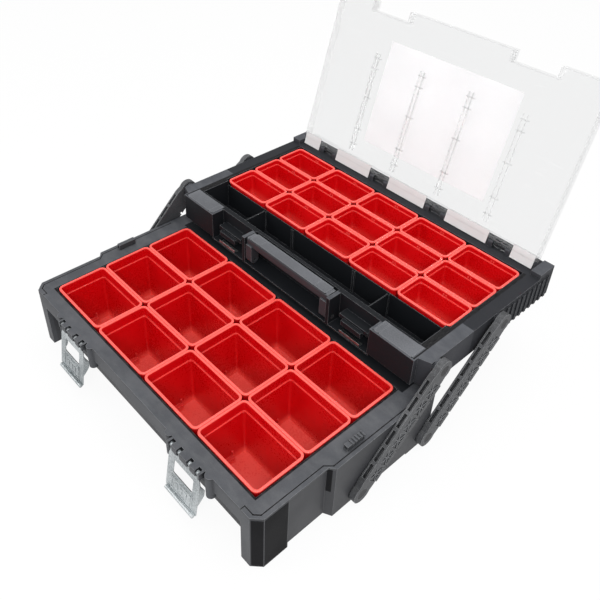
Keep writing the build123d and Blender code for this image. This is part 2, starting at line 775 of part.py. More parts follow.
def make_latch(name, centre_x):
    """A sheet metal latch that hangs from its knuckles: window, side flanges, stamped panel and curled end."""
    hang = radians(latch_tilt)
    down = (0, -sin(hang), -cos(hang))
    outward = (0, -cos(hang), sin(hang))
    half = latch_width / 2
    sheet_end = latch_length - latch_end_radius
    sheet = Plane(origin=(centre_x, latch_axis_y, latch_axis_z), x_dir=down, z_dir=outward)
    with BuildPart(sheet) as latch:
        with BuildSketch(sheet.offset(-latch_sheet / 2)):
            with BuildLine():
                Polyline(
                    (latch_strap_length, latch_corner - half),
                    (latch_strap_length + 8, -half),
                    (sheet_end - latch_corner, -half),
                    (sheet_end, latch_corner - half),
                    (sheet_end, half - latch_corner),
                    (sheet_end - latch_corner, half),
                    (latch_strap_length + 8, half),
                    (latch_strap_length, half - latch_corner),
                    close=True,
                )
            make_face()
            window_x = (latch_window_start + latch_window_end) / 2
            with Locations((window_x, 0)):
                RectangleRounded(latch_window_end - latch_window_start, latch_window_width, 2, mode=Mode.SUBTRACT)
        extrude(amount=latch_sheet)
        for y in knuckle_places():
            with Locations((0, y, 0)):
                Cylinder(latch_knuckle_radius, latch_knuckle_width, rotation=(90, 0, 0))
            with Locations((latch_strap_length / 2, y, 0)):
                Box(latch_strap_length + 1, latch_knuckle_width, latch_sheet)
        panel_start = latch_window_end + 5
        panel_end = latch_length - 9
        with Locations(((panel_start + panel_end) / 2, 0, latch_sheet / 2)):
            Box(panel_end - panel_start, latch_window_width + 4, 1.6)
        with Locations((sheet_end, 0, latch_end_radius - latch_sheet / 2)):
            Cylinder(latch_end_radius, latch_width - 2 * latch_corner, rotation=(90, 0, 0))
        for side in (-1, 1):
            edge = sheet * Plane.XZ.offset(latch_sheet / 2 - side * (half - latch_sheet / 2))
            with BuildSketch(edge):
                Polygon(
                    (latch_strap_length + 8, 0),
                    (latch_length - 22, 0),
                    (latch_length - 28, -latch_flange_depth / 2),
                    (latch_window_end, -latch_flange_depth),
                    (latch_window_start + 12, -latch_flange_depth),
                    (latch_strap_length + 12, -2),
                    align=None,
                )
            extrude(amount=-latch_sheet)
        bore = latch_pin_radius + running_clearance
        Cylinder(bore, latch_width, rotation=(90, 0, 0), mode=Mode.SUBTRACT)
    save(latch.part, name)


def make_latches():
    """Both latches and the pins that they turn on."""
    for side, word in ((-1, "left"), (1, "right")):
        make_latch(f"latch_{word}", side * latch_x)
        with BuildPart() as pin:
            reach = latch_lug_half_width - 0.5
            span = (side * latch_x - reach, side * latch_x + reach)
            cross_rod(span, latch_axis_y, latch_axis_z, latch_pin_radius)
        save(pin.part, f"latch_pin_{word}")


def make_handle():
    """A folding carry handle: a grip between two legs that turn on pins in the tray's posts."""
    grip_y = (handle_back_y - 3 - handle_grip_depth, handle_back_y - 3)
    grip_z = (tray_top_z - handle_grip_height, tray_top_z)
    outer = handle_half_width - handle_side_gap
    with BuildPart() as carry_handle:
        with BuildSketch(Plane.YZ.offset(-outer)):
            with Locations(((grip_y[0] + grip_y[1]) / 2, (grip_z[0] + grip_z[1]) / 2)):
                RectangleRounded(handle_grip_depth, handle_grip_height, 4)
        extrude(amount=2 * outer)
        for side in (-1, 1):
            leg = ordered(side, outer - handle_leg_width, outer)
            leg_y = (handle_axis_y - handle_leg_radius, handle_axis_y + handle_leg_radius)
            block(leg, leg_y, (handle_axis_z, grip_z[0] + 4))
            cross_rod(leg, handle_axis_y, handle_axis_z, handle_leg_radius)
            bore = ordered(side, outer - handle_leg_width - 1, outer + 1)
            cross_rod(bore, handle_axis_y, handle_axis_z, handle_pin_radius + running_clearance, Mode.SUBTRACT)
    save(carry_handle.part, "carry_handle")
    with BuildPart() as handle_pins:
        for side in (-1, 1):
            span = ordered(side, outer - handle_leg_width + 1, latch_recess_inner_x)
            cross_rod(span, handle_axis_y, handle_axis_z, handle_pin_radius)
    save(handle_pins.part, "handle_pins")


def lid_plane():
    """Frame of the open lid: X across, Y from its front edge towards the hinge, Z out of its face."""
    turn = radians(-lid_open_angle)
    return Plane(
        origin=(0, lid_axis_y, lid_axis_z),
        x_dir=(1, 0, 0),
        z_dir=(0, -sin(turn), cos(turn)),
    )


def lid_outline(inset):
    """Plan of the lid in its own frame, with a notch over each latch."""
    notch_in = latch_recess_inner_x - inset
    notch_out = latch_recess_outer_x + inset
    return both_sides([
        (notch_in, inset - lid_reach),
        (notch_in, inset - lid_notch_reach),
        (notch_out, inset - lid_notch_reach),
        (notch_out, inset - lid_reach),
        (lid_half_width - lid_corner_radius, inset - lid_reach),
        (lid_half_width - inset, lid_corner_radius - lid_reach),
        (lid_half_width - inset, -lid_back_reach - inset),
    ])


def make_lid():
    """A clear lid: a thin panel with a rim, raised ribs over the cup walls, and hinge knuckles."""
    rim_low = tray_top_z + lid_seat_gap - lid_axis_z
    panel_low = rim_low + lid_flange_height
    rim_plane = lid_plane().offset(rim_low)
    with BuildPart(lid_plane()) as lid:
        extrude(plan_layer(rim_plane, lid_outline(0)), amount=lid_flange_height + lid_sheet)
        hollow = plan_layer(rim_plane, lid_outline(lid_sheet))
        extrude(hollow, amount=lid_flange_height, mode=Mode.SUBTRACT)
        rib_low = panel_low - lid_rib_height
        for column in range(tray_columns - 1):
            x = (column - (tray_columns - 2) / 2) * tray_pitch_x
            for side in (-1, 1):
                rib_x = x + side * lid_rib_gap / 2
                block((rib_x - 0.8, rib_x + 0.8), (-lid_rib_front, -lid_rib_back), (rib_low, panel_low + 0.5))
        for x in hinge_stations():
            half = lid_knuckle_width / 2
            cross_rod((x - half, x + half), 0, 0, lid_knuckle_radius)
            block((x - half, x + half), (-lid_back_reach - lid_sheet, 0), (0.5, lid_knuckle_radius))
            cross_rod((x - half - 1, x + half + 1), 0, 0, lid_pin_radius + running_clearance, Mode.SUBTRACT)
    save(lid.part, "lid")
    with BuildPart(lid_plane()) as lid_label:
        face = panel_low + lid_sheet
        half = label_width / 2
        block((-half, half), (-label_start - label_length, -label_start), (face, face + label_thickness))
    save(lid_label.part, "lid_label")


def make_lid_pins():
    """One pin for each lid hinge."""
    half = lid_knuckle_width / 2 + lid_seat_gap + lid_lug_width
    with BuildPart() as lid_pins:
        for x in hinge_stations():
            cross_rod((x - half, x + half), lid_axis_y, lid_axis_z, lid_pin_radius)
    save(lid_pins.part, "lid_hinge_pins")


make_lower_box()
make_tray()
make_lower_cups()
make_tray_cups()
make_dividers()
make_strikes()
make_arms()
make_pivot_pins()
make_latches()
make_handle()
make_lid()
make_lid_pins()
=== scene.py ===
"""Dresses the cantilever tool box: charcoal mouldings, red cups, a clear lid and sheet metal latches."""

import logging
import math
from dataclasses import dataclass, field
from enum import Enum
from typing import Callable, Sequence

import bmesh
import bpy
from mathutils import Matrix, Vector


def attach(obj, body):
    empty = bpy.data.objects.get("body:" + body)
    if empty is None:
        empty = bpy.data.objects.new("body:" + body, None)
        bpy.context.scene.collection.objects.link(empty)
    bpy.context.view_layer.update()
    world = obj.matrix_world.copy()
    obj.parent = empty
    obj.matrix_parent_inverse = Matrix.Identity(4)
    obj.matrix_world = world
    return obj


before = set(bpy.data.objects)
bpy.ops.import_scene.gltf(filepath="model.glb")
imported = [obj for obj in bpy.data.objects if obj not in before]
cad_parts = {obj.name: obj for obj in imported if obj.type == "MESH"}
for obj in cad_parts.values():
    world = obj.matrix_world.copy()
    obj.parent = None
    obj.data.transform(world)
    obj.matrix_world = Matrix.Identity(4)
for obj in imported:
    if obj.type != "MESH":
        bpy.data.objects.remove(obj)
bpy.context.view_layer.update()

logging.basicConfig(level=logging.INFO, format="%(levelname)s %(message)s")
LOG = logging.getLogger("tool_box")

MM = 0.001
Colour = tuple[float, float, float]
Span = tuple[float, float]
Point = tuple[float, float, float]
# Colour of painted shade: in corners, in shade blocks and on the shadow sheets.
NEAR_BLACK: Colour = (0.006, 0.007, 0.009)
DUST_TONE: Colour = (0.26, 0.26, 0.26)
BEVEL_SAMPLES = 6
SHELTER_SAMPLES = 5
EDGE_BREAK_SCALE = 90.0
PEBBLE_SHARE = 0.6
SLOW_TONE_SCALE = 14.0
SLOW_TONE_SHARE = 0.55
SPECK_SHARE = 0.45
SCRATCH_STRETCH: Point = (1.0, 9.0, 5.0)
SCRATCH_TURN: Point = (0.3, 0.2, 0.5)
DUST_PATCH_SCALE = 30.0
FULL_TONE: Span = (0.3, 0.7)
SMOOTH_ANGLE = math.radians(32)
BEVEL_ANGLE = math.radians(35)


class Side(Enum):
    """The two sides of the box, seen from its front."""

    LEFT = -1
    RIGHT = 1

    @property
    def word(self) -> str:
        """The side's name as it stands in the node names."""
        return self.name.lower()

    def span(self, low: float, high: float) -> Span:
        """A range on the right side, or its mirror image on the left."""
        return (low, high) if self is Side.RIGHT else (-high, -low)


# Shared effects, as shader node groups


class Effect(Enum):
    """Names of the shader node groups that the finishes share."""

    EDGE = "worn_and_highlit_edge"
    GRAIN = "mould_grain"
    SCUFF = "fine_scuffs"
    DUST = "settled_dust"
    CORNER_SHADE = "painted_corner_shade"
    WALL = "painted_side_shade"
    ZONE = "zone"


@dataclass(frozen=True)
class Socket:
    """One named input or output of an effect."""

    name: str
    default: float = 0.0
    output: bool = False


class Graph:
    """A thin wrapper round a node tree that adds and links nodes."""

    def __init__(self, tree: bpy.types.NodeTree) -> None:
        """Keeps the tree.

        Args:
            tree: the node tree of a material or of a group.
        """
        self.tree = tree

    def add(self, kind: str, **settings: object) -> bpy.types.Node:
        """Adds a node and sets its plain properties.

        Args:
            kind: the node's type name.
            settings: properties of the node, by name.

        Returns:
            The new node.
        """
        node = self.tree.nodes.new(kind)
        for name, value in settings.items():
            setattr(node, name, value)
        return node

    def link(self, source: bpy.types.NodeSocket, target: bpy.types.NodeSocket) -> None:
        """Joins an output to an input."""
        self.tree.links.new(source, target)

    def math(self, operation: str, *values: object, clamp: bool = False) -> bpy.types.NodeSocket:
        """Adds one arithmetic step.

        Args:
            operation: the operation's name.
            values: what it works on, as sockets or numbers.
            clamp: whether the result is held between 0 and 1.

        Returns:
            The step's output.
        """
        node = self.add("ShaderNodeMath", operation=operation, use_clamp=clamp)
        for place, value in enumerate(values):
            self.feed(node.inputs[place], value)
        return node.outputs[0]

    def feed(self, target: bpy.types.NodeSocket, value: object) -> None:
        """Links a socket to an input, or gives it a number or a colour."""
        if isinstance(value, bpy.types.NodeSocket):
            self.link(value, target)
        else:
            target.default_value = (*value, 1.0) if isinstance(value, tuple) else value

    def mix(self, share: bpy.types.NodeSocket, low: object, high: object) -> bpy.types.NodeSocket:
        """Mixes two colours by a share.

        Args:
            share: the output that gives the share of the second colour.
            low: a colour or a socket, where the share is 0.
            high: a colour or a socket, where the share is 1.

        Returns:
            The mixed colour.
        """
        node = self.add("ShaderNodeMix", data_type="RGBA")
        self.link(share, node.inputs[0])
        for place, value in ((6, low), (7, high)):
            self.feed(node.inputs[place], value)
        return node.outputs[2]

    def ramp(
        self, value: bpy.types.NodeSocket, span: Span, result: Span = (0.0, 1.0)
    ) -> bpy.types.NodeSocket:
        """Maps a value from one range to another, with smooth ends.

        Args:
            value: the output to map.
            span: the range that it is read over.
            result: the range that it is mapped to.

        Returns:
            The mapped value.
        """
        node = self.add("ShaderNodeMapRange", interpolation_type="SMOOTHSTEP")
        self.link(value, node.inputs[0])
        for place, number in enumerate((*span, *result), start=1):
            node.inputs[place].default_value = number
        return node.outputs[0]


def make_group(
    effect: Effect, sockets: Sequence[Socket], fill: Callable[[Graph, dict, dict], None]
) -> None:
    """Makes a shader node group with named sockets.

    Args:
        effect: the group's name.
        sockets: its inputs and outputs.
        fill: fills the group from its wrapper, its input sockets and its output sockets.
    """
    tree = bpy.data.node_groups.new(effect.value, "ShaderNodeTree")
    for socket in sockets:
        way = "OUTPUT" if socket.output else "INPUT"
        made = tree.interface.new_socket(socket.name, in_out=way, socket_type="NodeSocketFloat")
        if not socket.output:
            made.default_value = socket.default
    graph = Graph(tree)
    given = graph.add("NodeGroupInput")
    result = graph.add("NodeGroupOutput")
    inputs = {s.name: given.outputs[s.name] for s in sockets if not s.output}
    outputs = {s.name: result.inputs[s.name] for s in sockets if s.output}
    fill(graph, inputs, outputs)


def fill_edge(graph: Graph, given: dict, result: dict) -> None:
    """Where a rounded normal turns away from the face's own, an edge is near; the finishes paint it paler,
    partly as worn edges and partly as a painted highlight.
    """
    rounded = graph.add("ShaderNodeBevel", samples=BEVEL_SAMPLES)
    graph.link(given["Radius"], rounded.inputs["Radius"])
    face = graph.add("ShaderNodeNewGeometry")
    turn = graph.add("ShaderNodeVectorMath", operation="DOT_PRODUCT")
    graph.link(rounded.outputs[0], turn.inputs[0])
    graph.link(face.outputs["Normal"], turn.inputs[1])
    apart = graph.math("SUBTRACT", 1.0, turn.outputs["Value"])
    uneven = graph.add("ShaderNodeTexNoise")
    uneven.inputs["Scale"].default_value = EDGE_BREAK_SCALE
    broken = graph.ramp(uneven.outputs[0], (0.3, 0.6), (0.55, 1.0))
    strong = graph.math("MULTIPLY", apart, given["Strength"], clamp=True)
    graph.link(graph.math("MULTIPLY", strong, broken, clamp=True), result["Mask"])


def fill_grain(graph: Graph, given: dict, result: dict) -> None:
    """A pebbled mould texture, and slow changes of tone over the surface."""
    place = graph.add("ShaderNodeTexCoord")
    pebble = graph.add("ShaderNodeTexVoronoi")
    graph.link(place.outputs["Object"], pebble.inputs["Vector"])
    graph.link(given["Scale"], pebble.inputs["Scale"])
    fine = graph.add("ShaderNodeTexNoise")
    graph.link(place.outputs["Object"], fine.inputs["Vector"])
    graph.link(given["Scale"], fine.inputs["Scale"])
    fine.inputs["Detail"].default_value = 5.0
    height = graph.math("MULTIPLY_ADD", pebble.outputs["Distance"], PEBBLE_SHARE, fine.outputs[0])
    graph.link(height, result["Height"])
    slow = graph.add("ShaderNodeTexNoise")
    graph.link(place.outputs["Object"], slow.inputs["Vector"])
    slow.inputs["Scale"].default_value = SLOW_TONE_SCALE
    slow.inputs["Detail"].default_value = 4.0
    speck = graph.math("MULTIPLY", fine.outputs[0], SPECK_SHARE)
    graph.link(graph.math("MULTIPLY_ADD", slow.outputs[0], SLOW_TONE_SHARE, speck), result["Tone"])


def fill_scuff(graph: Graph, given: dict, result: dict) -> None:
    """Thin, long scratches in one main direction."""
    place = graph.add("ShaderNodeTexCoord")
    stretch = graph.add("ShaderNodeMapping")
    stretch.inputs["Scale"].default_value = SCRATCH_STRETCH
    stretch.inputs["Rotation"].default_value = SCRATCH_TURN
    graph.link(place.outputs["Object"], stretch.inputs["Vector"])
    lines = graph.add("ShaderNodeTexNoise")
    graph.link(stretch.outputs[0], lines.inputs["Vector"])
    graph.link(given["Scale"], lines.inputs["Scale"])
    lines.inputs["Detail"].default_value = 3.0
    thin = graph.ramp(lines.outputs[0], (0.64, 0.72))
    graph.link(graph.math("MULTIPLY", thin, given["Amount"], clamp=True), result["Mask"])


def fill_dust(graph: Graph, given: dict, result: dict) -> None:
    """A little dust on what faces up, in patches."""
    face = graph.add("ShaderNodeNewGeometry")
    parts = graph.add("ShaderNodeSeparateXYZ")
    graph.link(face.outputs["Normal"], parts.inputs[0])
    upward = graph.ramp(parts.outputs["Z"], (0.5, 0.95))
    patches = graph.add("ShaderNodeTexNoise")
    patches.inputs["Scale"].default_value = DUST_PATCH_SCALE
    patches.inputs["Detail"].default_value = 6.0
    patchy = graph.ramp(patches.outputs[0], (0.35, 0.75))
    amount = graph.math("MULTIPLY", upward, patchy)
    graph.link(graph.math("MULTIPLY", amount, given["Amount"], clamp=True), result["Mask"])


def fill_corner_shade(graph: Graph, given: dict, result: dict) -> None:
    """Painted shade: a mask of narrow gaps, pockets and inner corners, which the finishes darken to near
    black.
    """
    shelter = graph.add("ShaderNodeAmbientOcclusion", samples=SHELTER_SAMPLES)
    graph.link(given["Reach"], shelter.inputs["Distance"])
    closed = graph.math("SUBTRACT", 1.0, shelter.outputs["AO"])
    graph.link(graph.ramp(closed, (0.12, 0.8)), result["Mask"])


def fill_side_shade(graph: Graph, given: dict, result: dict) -> None:
    """Painted shade: a mask of faces that stand upright or look down, which the finishes give their own,
    mostly darker, colour.
    """
    face = graph.add("ShaderNodeNewGeometry")
    parts = graph.add("ShaderNodeSeparateXYZ")
    graph.link(face.outputs["Normal"], parts.inputs[0])
    graph.link(graph.ramp(parts.outputs["Z"], (0.85, 0.35)), result["Mask"])


def fill_zone(graph: Graph, given: dict, result: dict) -> None:
    """A block of the object's own space, alike on the left and on the right."""
    place = graph.add("ShaderNodeTexCoord")
    parts = graph.add("ShaderNodeSeparateXYZ")
    graph.link(place.outputs["Object"], parts.inputs[0])
    inside = graph.math("LESS_THAN", graph.math("ABSOLUTE", parts.outputs["X"]), given["Half"])
    inside = graph.math("MULTIPLY", inside, graph.math("GREATER_THAN", parts.outputs["Y"], given["Front"]))
    inside = graph.math("MULTIPLY", inside, graph.math("LESS_THAN", parts.outputs["Y"], given["Back"]))
    below = graph.math("LESS_THAN", parts.outputs["Z"], given["Top"])
    graph.link(graph.math("MULTIPLY", inside, below), result["Mask"])


def make_effects() -> None:
    """Makes the shared effects."""
    mask = Socket("Mask", output=True)
    make_group(Effect.EDGE, (Socket("Radius", 0.001), Socket("Strength", 4.0), mask), fill_edge)
    grain = (Socket("Scale", 900.0), Socket("Height", output=True), Socket("Tone", output=True))
    make_group(Effect.GRAIN, grain, fill_grain)
    make_group(Effect.SCUFF, (Socket("Scale", 60.0), Socket("Amount", 0.5), mask), fill_scuff)
    make_group(Effect.DUST, (Socket("Amount", 0.3), mask), fill_dust)
    make_group(Effect.CORNER_SHADE, (Socket("Reach", 0.004), mask), fill_corner_shade)
    make_group(Effect.WALL, (mask,), fill_side_shade)
    zone = (Socket("Half", 0.1), Socket("Front", 0.0), Socket("Back", 0.1), Socket("Top", 0.1), mask)
    make_group(Effect.ZONE, zone, fill_zone)


# Finishes


class Finish:
    """A material's graph, with its shader and the shared effects placed in it."""

    def __init__(self, name: str) -> None:
        """Makes an empty material with one shader.

        Args:
            name: the material's name.
        """
        self.material = bpy.data.materials.new(name)
        self.material.use_nodes = True
        self.material.node_tree.nodes.clear()
        self.graph = Graph(self.material.node_tree)
        self.shader = self.graph.add("ShaderNodeBsdfPrincipled")
        output = self.graph.add("ShaderNodeOutputMaterial")
        self.graph.link(self.shader.outputs[0], output.inputs["Surface"])

    def effect(self, effect: Effect, **values: float) -> bpy.types.Node:
        """Places a shared effect.

        Args:
            effect: which one.
            values: its input values, by name in lower case.

        Returns:
            The group node.
        """
        node = self.graph.add("ShaderNodeGroup", node_tree=bpy.data.node_groups[effect.value])
        for name, value in values.items():
            node.inputs[name.capitalize()].default_value = value
        return node

    def set(self, name: str, value: object) -> None:
        """Sets or links one of the shader's sockets."""
        socket = self.shader.inputs[name]
        if isinstance(value, tuple) and socket.type == "VECTOR":
            socket.default_value = value
        else:
            self.graph.feed(socket, value)

    def bump(
        self, height: bpy.types.NodeSocket, depth_mm: float, strength: float, soften: float = 0.0
    ) -> None:
        """Raises the surface by a height.

        Args:
            height: the output that gives it.
            depth_mm: what a height of 1 is, in millimetres.
            strength: how much of it is kept.
            soften: radius in millimetres that sharp edges are rounded by, or 0.
        """
        node = self.graph.add("ShaderNodeBump")
        node.inputs["Strength"].default_value = strength
        node.inputs["Distance"].default_value = depth_mm * MM
        self.graph.link(height, node.inputs["Height"])
        if soften:
            rounded = self.graph.add("ShaderNodeBevel", samples=BEVEL_SAMPLES)
            rounded.inputs["Radius"].default_value = soften * MM
            self.graph.link(rounded.outputs[0], node.inputs["Normal"])
        self.graph.link(node.outputs[0], self.shader.inputs["Normal"])


@dataclass(frozen=True)
class PaintedShadingZone:
    """A block of an object's own space painted a flat tone, in millimetres: mostly painted shade, and on
    the box's front face a painted lit face.
    """

    half: float
    front: float
    back: float
    top: float
    colour: Colour = NEAR_BLACK


@dataclass(frozen=True)
class MouldedPlastic:
    """Charcoal plastic with a fine mould texture, scuffs and dust; its paler edges are partly worn and
    partly a painted highlight, and it carries painted shade on its upright faces, in its corners and in
    blocks of its own space.
    """

    name: str
    dark: Colour
    light: Colour
    edge: Colour
    wall: Colour
    roughness: Span = (0.46, 0.62)
    grain_depth: float = 0.05
    grain_scale: float = 1100.0
    edge_radius: float = 0.9
    edge_wear_and_highlight: float = 4.0
    scuffs: float = 0.10
    dust: float = 0.10
    reach: float = 5.0
    side_shade_share: float = 1.0
    specular: float = 0.30
    painted_shading_zones: tuple[PaintedShadingZone, ...] = ()

    def make(self) -> bpy.types.Material:
        """Makes the material."""
        finish = Finish(self.name)
        graph = finish.graph
        grain = finish.effect(Effect.GRAIN, scale=self.grain_scale)
        edge = finish.effect(Effect.EDGE, radius=self.edge_radius * MM, strength=self.edge_wear_and_highlight)
        scuff = finish.effect(Effect.SCUFF, scale=150.0, amount=self.scuffs)
        dust = finish.effect(Effect.DUST, amount=self.dust)
        corner_shade = finish.effect(Effect.CORNER_SHADE, reach=self.reach * MM)
        wall = finish.effect(Effect.WALL)
        tone = graph.ramp(grain.outputs["Tone"], (0.35, 0.68))
        colour = graph.mix(tone, self.dark, self.light)
        # Painted shade: upright and downward faces take their own side colour, mostly darker, as if lit
        # from above.
        upright = graph.math("MULTIPLY", wall.outputs["Mask"], self.side_shade_share)
        colour = graph.mix(upright, colour, self.wall)
        colour = graph.mix(scuff.outputs["Mask"], colour, self.edge)
        colour = graph.mix(dust.outputs["Mask"], colour, DUST_TONE)
        # Painted shade in blocks of the object's space, and on the box's front face a painted lit face.
        for zone in self.painted_shading_zones:
            mask = finish.effect(
                Effect.ZONE,
                half=zone.half * MM,
                front=zone.front * MM,
                back=zone.back * MM,
                top=zone.top * MM,
            )
            colour = graph.mix(mask.outputs["Mask"], colour, zone.colour)
        # Paler edges: partly worn, partly a painted highlight.
        colour = graph.mix(edge.outputs["Mask"], colour, self.edge)
        # Painted shade: near black in gaps, pockets and inner corners.
        colour = graph.mix(corner_shade.outputs["Mask"], colour, NEAR_BLACK)
        finish.set("Base Color", colour)
        finish.set("Roughness", graph.ramp(grain.outputs["Tone"], FULL_TONE, self.roughness))
        finish.set("Specular IOR Level", self.specular)
        finish.bump(grain.outputs["Height"], self.grain_depth, 0.8, 0.5)
        return finish.material


@dataclass(frozen=True)
class CupPlastic:
    """Glossy red plastic with painted highlights on the lip, along the edges and near the floor of each
    cup.
    """

    name: str
    rim_z: float
    floor_z: float
    floor_highlight_share: float = 0.72
    body: Colour = (0.64, 0.001, 0.004)
    deep: Colour = (0.54, 0.001, 0.003)
    # Painted highlight: the lip's top is a lighter coral, standing in for gloss and light through the thin
    # rim.
    lip: Colour = (0.96, 0.11, 0.09)
    # Painted highlight along the edges; the scuffs take this colour too.
    edge: Colour = (0.96, 0.10, 0.085)
    # Painted highlight: a coral reflection near the cup's floor.
    floor: Colour = (1.0, 0.15, 0.12)
    roughness: Span = (0.22, 0.36)
    floor_highlight_fade: Span = (15.0, 0.5)
    lip_highlight_fade: Span = (2.2, 0.9)

    def make(self) -> bpy.types.Material:
        """Makes the material."""
        finish = Finish(self.name)
        graph = finish.graph
        place = graph.add("ShaderNodeTexCoord")
        parts = graph.add("ShaderNodeSeparateXYZ")
        graph.link(place.outputs["Object"], parts.inputs[0])
        grain = finish.effect(Effect.GRAIN, scale=420.0)
        edge = finish.effect(Effect.EDGE, radius=1.6 * MM, strength=7.0)
        scuff = finish.effect(Effect.SCUFF, scale=180.0, amount=0.15)
        tone = graph.ramp(grain.outputs["Tone"], FULL_TONE)
        colour = graph.mix(tone, self.deep, self.body)
        floor_highlight_span = tuple((self.floor_z + above) * MM for above in self.floor_highlight_fade)
        # Painted highlight near the floor.
        low = graph.ramp(parts.outputs["Z"], floor_highlight_span, (0.0, self.floor_highlight_share))
        colour = graph.mix(low, colour, self.floor)
        colour = graph.mix(scuff.outputs["Mask"], colour, self.edge)
        # Painted highlight along the edges.
        colour = graph.mix(edge.outputs["Mask"], colour, self.edge)
        lip_highlight_span = tuple((self.rim_z - below) * MM for below in self.lip_highlight_fade)
        # Painted highlight on the lip.
        lip = graph.ramp(parts.outputs["Z"], lip_highlight_span)
        finish.set("Base Color", graph.mix(lip, colour, self.lip))
        finish.set("Roughness", graph.ramp(grain.outputs["Tone"], FULL_TONE, self.roughness))
        finish.set("Subsurface Weight", 0.12)
        finish.set("Subsurface Radius", (1.0, 0.2, 0.1))
        finish.set("Subsurface Scale", 0.004)
        finish.bump(grain.outputs["Height"], 0.02, 0.5, 0.5)
        return finish.material


@dataclass(frozen=True)
class ClearPlastic:
    """Clear lid plastic with faint flow marks and fine scratches."""

    name: str
    tint: Colour = (0.52, 0.53, 0.535)
    alpha: float = 0.22
    clearness: float = 1.0
    scratch: Colour = (0.80, 0.82, 0.82)
    roughness: Span = (0.10, 0.20)
    bending: float = 1.32

    def make(self) -> bpy.types.Material:
        """Makes the material."""
        finish = Finish(self.name)
        graph = finish.graph
        grain = finish.effect(Effect.GRAIN, scale=160.0)
        scuff = finish.effect(Effect.SCUFF, scale=35.0, amount=0.5)
        finish.set("Base Color", graph.mix(scuff.outputs["Mask"], self.tint, self.scratch))
        finish.set("Roughness", graph.ramp(grain.outputs["Tone"], FULL_TONE, self.roughness))
        finish.set("IOR", self.bending)
        finish.set("Transmission Weight", self.clearness)
        finish.set("Alpha", self.alpha)
        finish.bump(grain.outputs["Height"], 0.05, 0.4)
        return finish.material


@dataclass(frozen=True)
class LabelPaper:
    """A blank coated sticker, with a painted glow that stands in for light let through from behind."""

    name: str
    sheet: Colour = (0.93, 0.93, 0.935)
    shade: Colour = (0.88, 0.88, 0.885)
    roughness: Span = (0.4, 0.55)
    glow: float = 0.17

    def make(self) -> bpy.types.Material:
        """Makes the material."""
        finish = Finish(self.name)
        graph = finish.graph
        grain = finish.effect(Effect.GRAIN, scale=300.0)
        tone = graph.ramp(grain.outputs["Tone"], FULL_TONE)
        finish.set("Base Color", graph.mix(tone, self.shade, self.sheet))
        # Painted light: the label glows a little, though it is no lamp.
        finish.set("Emission Color", self.sheet)
        finish.set("Emission Strength", self.glow)
        finish.set("Roughness", graph.ramp(grain.outputs["Tone"], FULL_TONE, self.roughness))
        finish.bump(grain.outputs["Height"], 0.02, 0.4)
        return finish.material


@dataclass(frozen=True)
class PlatedSteel:
    """Zinc plated sheet with drawn lines and duller patches."""

    name: str
    bright: Colour = (0.60, 0.63, 0.64)
    dull: Colour = (0.25, 0.275, 0.285)
    edge: Colour = (0.92, 0.93, 0.93)
    roughness: Span = (0.30, 0.50)

    def make(self) -> bpy.types.Material:
        """Makes the material."""
        finish = Finish(self.name)
        graph = finish.graph
        grain = finish.effect(Effect.GRAIN, scale=500.0)
        scuff = finish.effect(Effect.SCUFF, scale=120.0, amount=0.8)
        edge = finish.effect(Effect.EDGE, radius=0.5 * MM, strength=2.0)
        tone = graph.ramp(grain.outputs["Tone"], (0.38, 0.62))
        colour = graph.mix(tone, self.dull, self.bright)
        colour = graph.mix(scuff.outputs["Mask"], colour, self.dull)
        colour = graph.mix(edge.outputs["Mask"], colour, self.edge)
        finish.set("Base Color", colour)
        finish.set("Metallic", 1.0)
        finish.set("Roughness", graph.ramp(grain.outputs["Tone"], FULL_TONE, self.roughness))
        finish.bump(grain.outputs["Height"], 0.03, 0.6, 0.4)
        return finish.material


